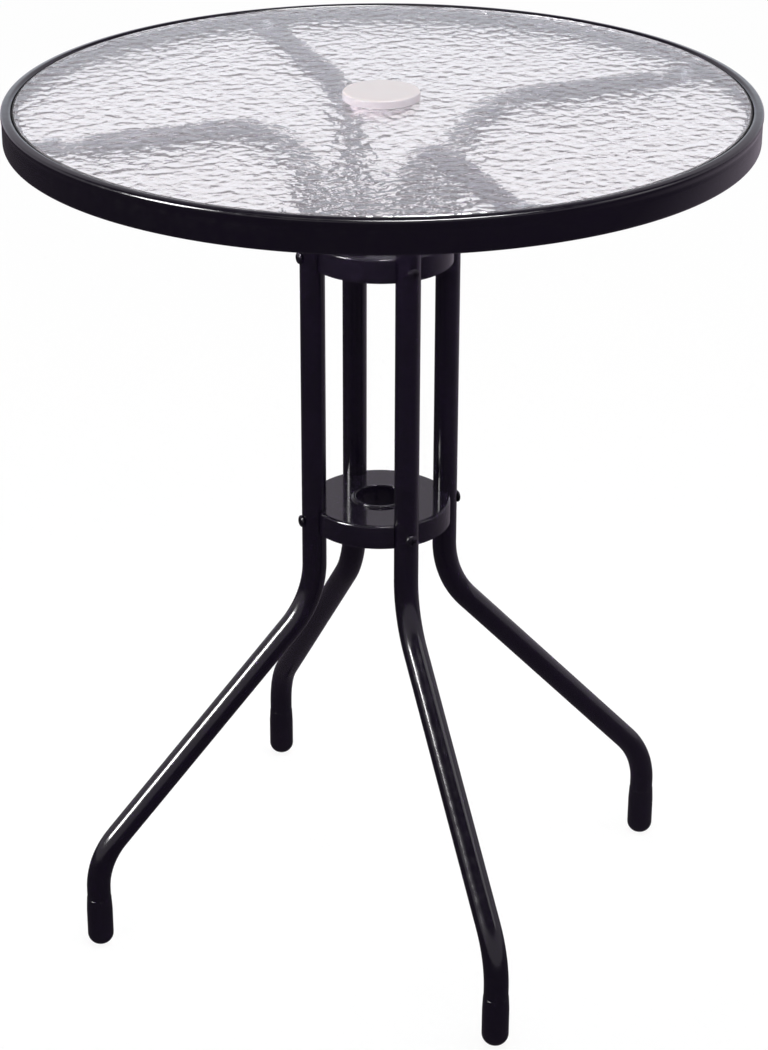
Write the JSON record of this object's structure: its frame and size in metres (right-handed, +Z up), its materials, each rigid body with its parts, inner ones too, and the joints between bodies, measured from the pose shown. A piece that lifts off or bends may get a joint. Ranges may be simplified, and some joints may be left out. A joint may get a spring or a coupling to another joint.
{
  "type": "umbrella table",
  "caption": "Round patio table with a patterned glass top in a rolled steel rim, on bent tube legs held by two hubs with a central umbrella hole.",
  "frame": {"origin": "on the floor at the table's centre line", "axes": "+Z up; the legs stand on +X (right), +Y (back), -X (left) and -Y (front)"},
  "size_m": [0.6, 0.6, 0.7358],
  "materials": {
    "frame_paint": "gloss black powder coat on steel",
    "hub_plastic": "moulded, polished black",
    "patterned_glass": "tempered, hammered pattern",
    "gasket_rubber": "matt black",
    "plug_plastic": "translucent, smooth",
    "cap_plastic": "moulded, satin black",
    "screw_black": "black coated steel",
    "zinc_steel": "zinc plated"
  },
  "bodies": {
    "table": {"rim_band": "frame_paint", "glass_gasket": "gasket_rubber", "glass_top": "patterned_glass", "lower_hub": "hub_plastic", "upper_hub": "hub_plastic", "right_leg": "frame_paint", "back_leg": "frame_paint", "left_leg": "frame_paint", "front_leg": "frame_paint", "right_rim_bracket": "frame_paint", "back_rim_bracket": "frame_paint", "left_rim_bracket": "frame_paint", "front_rim_bracket": "frame_paint", "right_foot_cap": "cap_plastic", "back_foot_cap": "cap_plastic", "left_foot_cap": "cap_plastic", "front_foot_cap": "cap_plastic", "right_lower_hub_screw": "screw_black", "back_lower_hub_screw": "screw_black", "left_lower_hub_screw": "screw_black", "front_lower_hub_screw": "screw_black", "right_upper_hub_screw": "screw_black", "back_upper_hub_screw": "screw_black", "left_upper_hub_screw": "screw_black", "front_upper_hub_screw": "screw_black", "right_rim_bolt": "zinc_steel", "back_rim_bolt": "zinc_steel", "left_rim_bolt": "zinc_steel", "front_rim_bolt": "zinc_steel", "right_rim_nut": "zinc_steel", "back_rim_nut": "zinc_steel", "left_rim_nut": "zinc_steel", "front_rim_nut": "zinc_steel"},
    "plug": {"umbrella_hole_plug": "plug_plastic"}
  },
  "joints": [
    {"name": "plug_lift", "type": "slide", "parent": "table", "child": "plug", "axis": [0, 0, 1], "range_m": [0, 0.06]}
  ]
}
